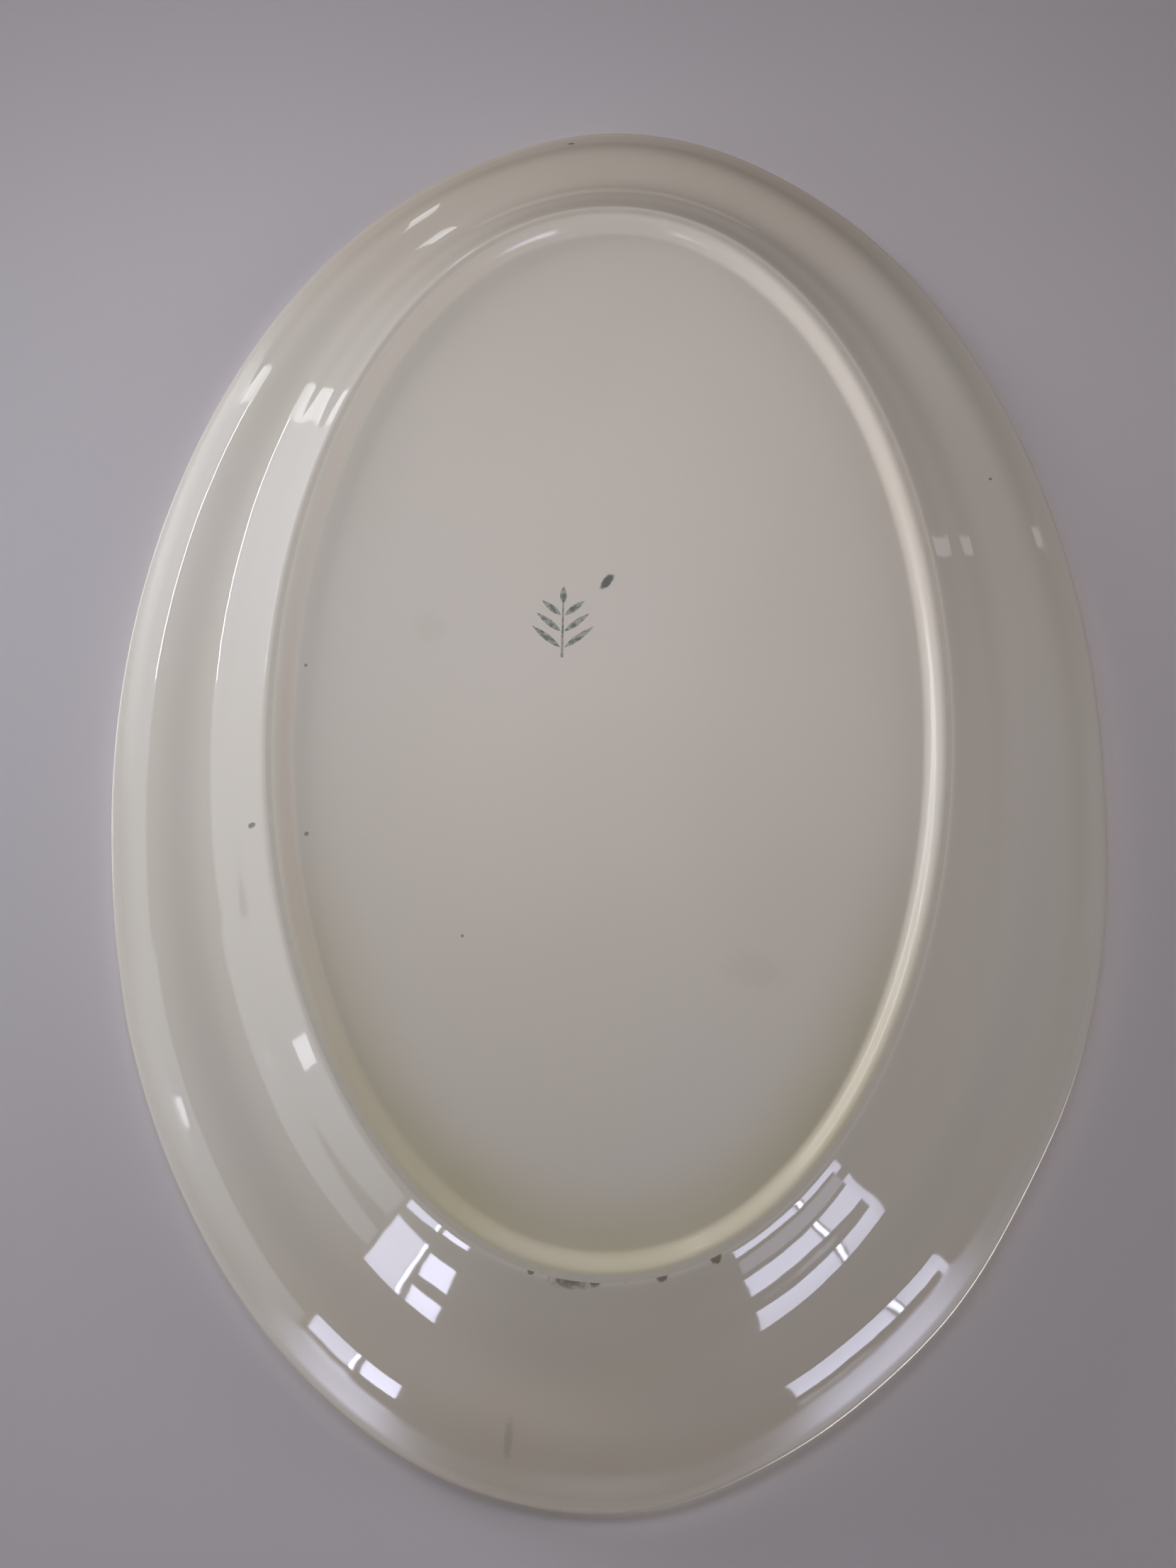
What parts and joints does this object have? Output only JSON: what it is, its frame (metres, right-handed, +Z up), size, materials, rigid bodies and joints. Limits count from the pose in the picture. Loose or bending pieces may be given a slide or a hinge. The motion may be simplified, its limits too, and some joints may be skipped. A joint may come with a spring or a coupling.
{
  "type": "oval porcelain serving dish",
  "caption": "Shallow oval serving dish with a flat well, stepped wall, broad flange, rounded lip and a low oval foot ring.",
  "frame": {"origin": "on the plane the dish stands on, under the middle of the dish", "axes": "+Z up, out of the open well; +Y along the long axis; +X across the dish"},
  "size_m": [0.242, 0.35, 0.0265],
  "materials": {
    "clay_body": "fired white-firing clay under the glaze, not seen from outside",
    "bare_foot": "bare fired clay, smooth and a little worn and dirty along the standing line",
    "recess_coat": "glossy ivory glaze, yellower where it has pooled in the corner of the foot ring",
    "back_coat": "glossy ivory glaze with a few kiln specks",
    "face_coat": "glossy plain ivory glaze with fine marks of use",
    "stamp_ink": "faint grey-green printed ink, fired on"
  },
  "bodies": {
    "root": {"dish_body": "clay_body", "foot_ring": "bare_foot", "recess_glaze": "recess_coat", "back_glaze": "back_coat", "face_glaze": "face_coat", "backstamp": "stamp_ink"}
  },
  "joints": []
}
